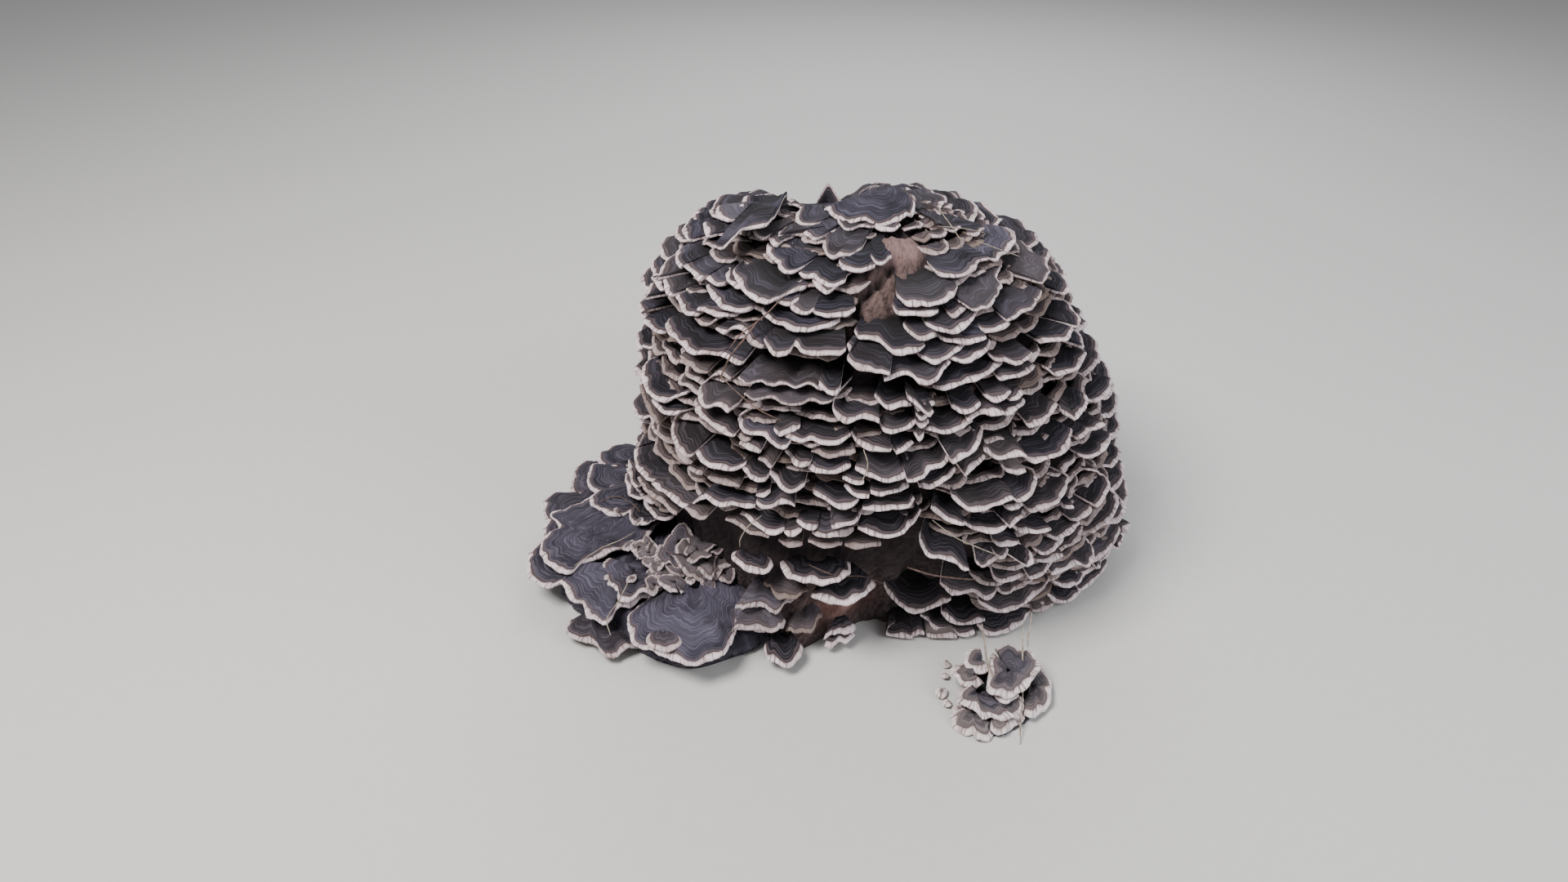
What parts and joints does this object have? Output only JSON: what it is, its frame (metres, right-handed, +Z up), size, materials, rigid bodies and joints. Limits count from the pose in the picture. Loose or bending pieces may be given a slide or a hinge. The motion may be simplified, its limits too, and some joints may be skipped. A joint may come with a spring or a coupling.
{
  "type": "turkey tail fungus",
  "caption": "Turkey tail fungus: thin fan-shaped brackets with dark banded tops and pale edges, in crowded overlapping tiers all over a rotten tree stump cut flat at the ground.",
  "frame": {"origin": "on the ground under the stump's axis, in the plane of the flat cut", "axes": "+Z up, -Y towards the viewer of the picture, +X to the viewer's right"},
  "size_m": [0.5821, 0.4943, 0.3616],
  "materials": {
    "rotten_wood": "damp, crumbling, dark",
    "slate_caps": "velvety dark slate with fine bands and a pale rim",
    "lavender_caps": "velvety blue-lavender grey with fine bands and a pale rim",
    "pale_caps": "velvety greyish cream with fine bands"
  },
  "bodies": {
    "root": {"stump": "rotten_wood", "crown_brackets": "slate_caps", "belly_brackets": "slate_caps", "flank_brackets": "slate_caps", "foot_brackets": "slate_caps", "back_brackets": "slate_caps", "spread_brackets": "lavender_caps", "front_rosette": "pale_caps", "lone_bracket_left": "slate_caps", "lone_bracket_middle": "slate_caps", "lone_bracket_right": "slate_caps", "low_bracket_front": "slate_caps", "low_bracket_side": "slate_caps"}
  },
  "joints": []
}
